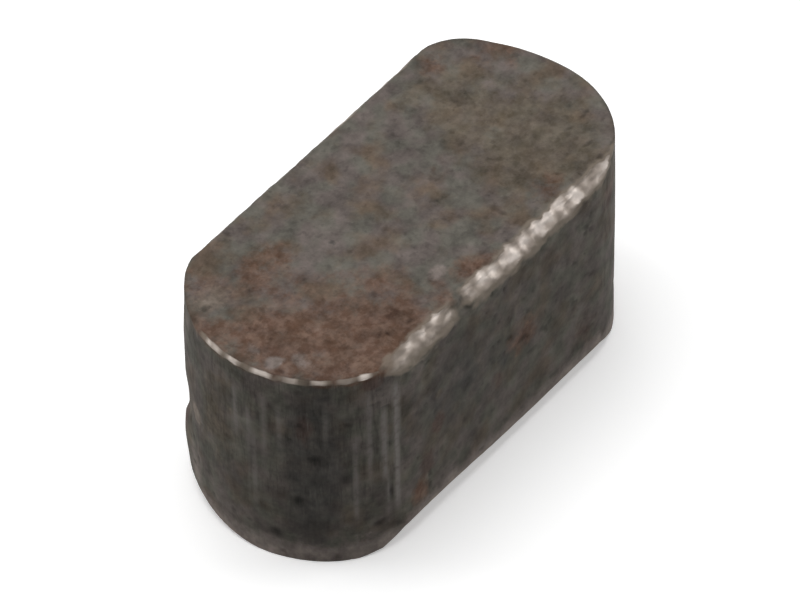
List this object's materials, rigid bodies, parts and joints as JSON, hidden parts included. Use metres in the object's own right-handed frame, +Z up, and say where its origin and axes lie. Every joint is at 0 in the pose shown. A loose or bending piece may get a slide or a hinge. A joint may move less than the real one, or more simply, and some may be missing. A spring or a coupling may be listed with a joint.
{
  "type": "parallel key",
  "caption": "Short parallel key of square section with two rounded ends and chamfered long edges, in dark worn steel.",
  "frame": {"origin": "centre of the seat, the lower b x L face that the key lies on", "axes": "+X along the key, +Y across it from flank to flank, +Z up from the seat to the crown"},
  "size_m": [0.01, 0.005, 0.005],
  "materials": {
    "key_steel": "dark oxide film, mottled, with brown rust stains and bright bare metal on the worn edges"
  },
  "bodies": {
    "root": {"parallel_key": "key_steel"}
  },
  "joints": []
}
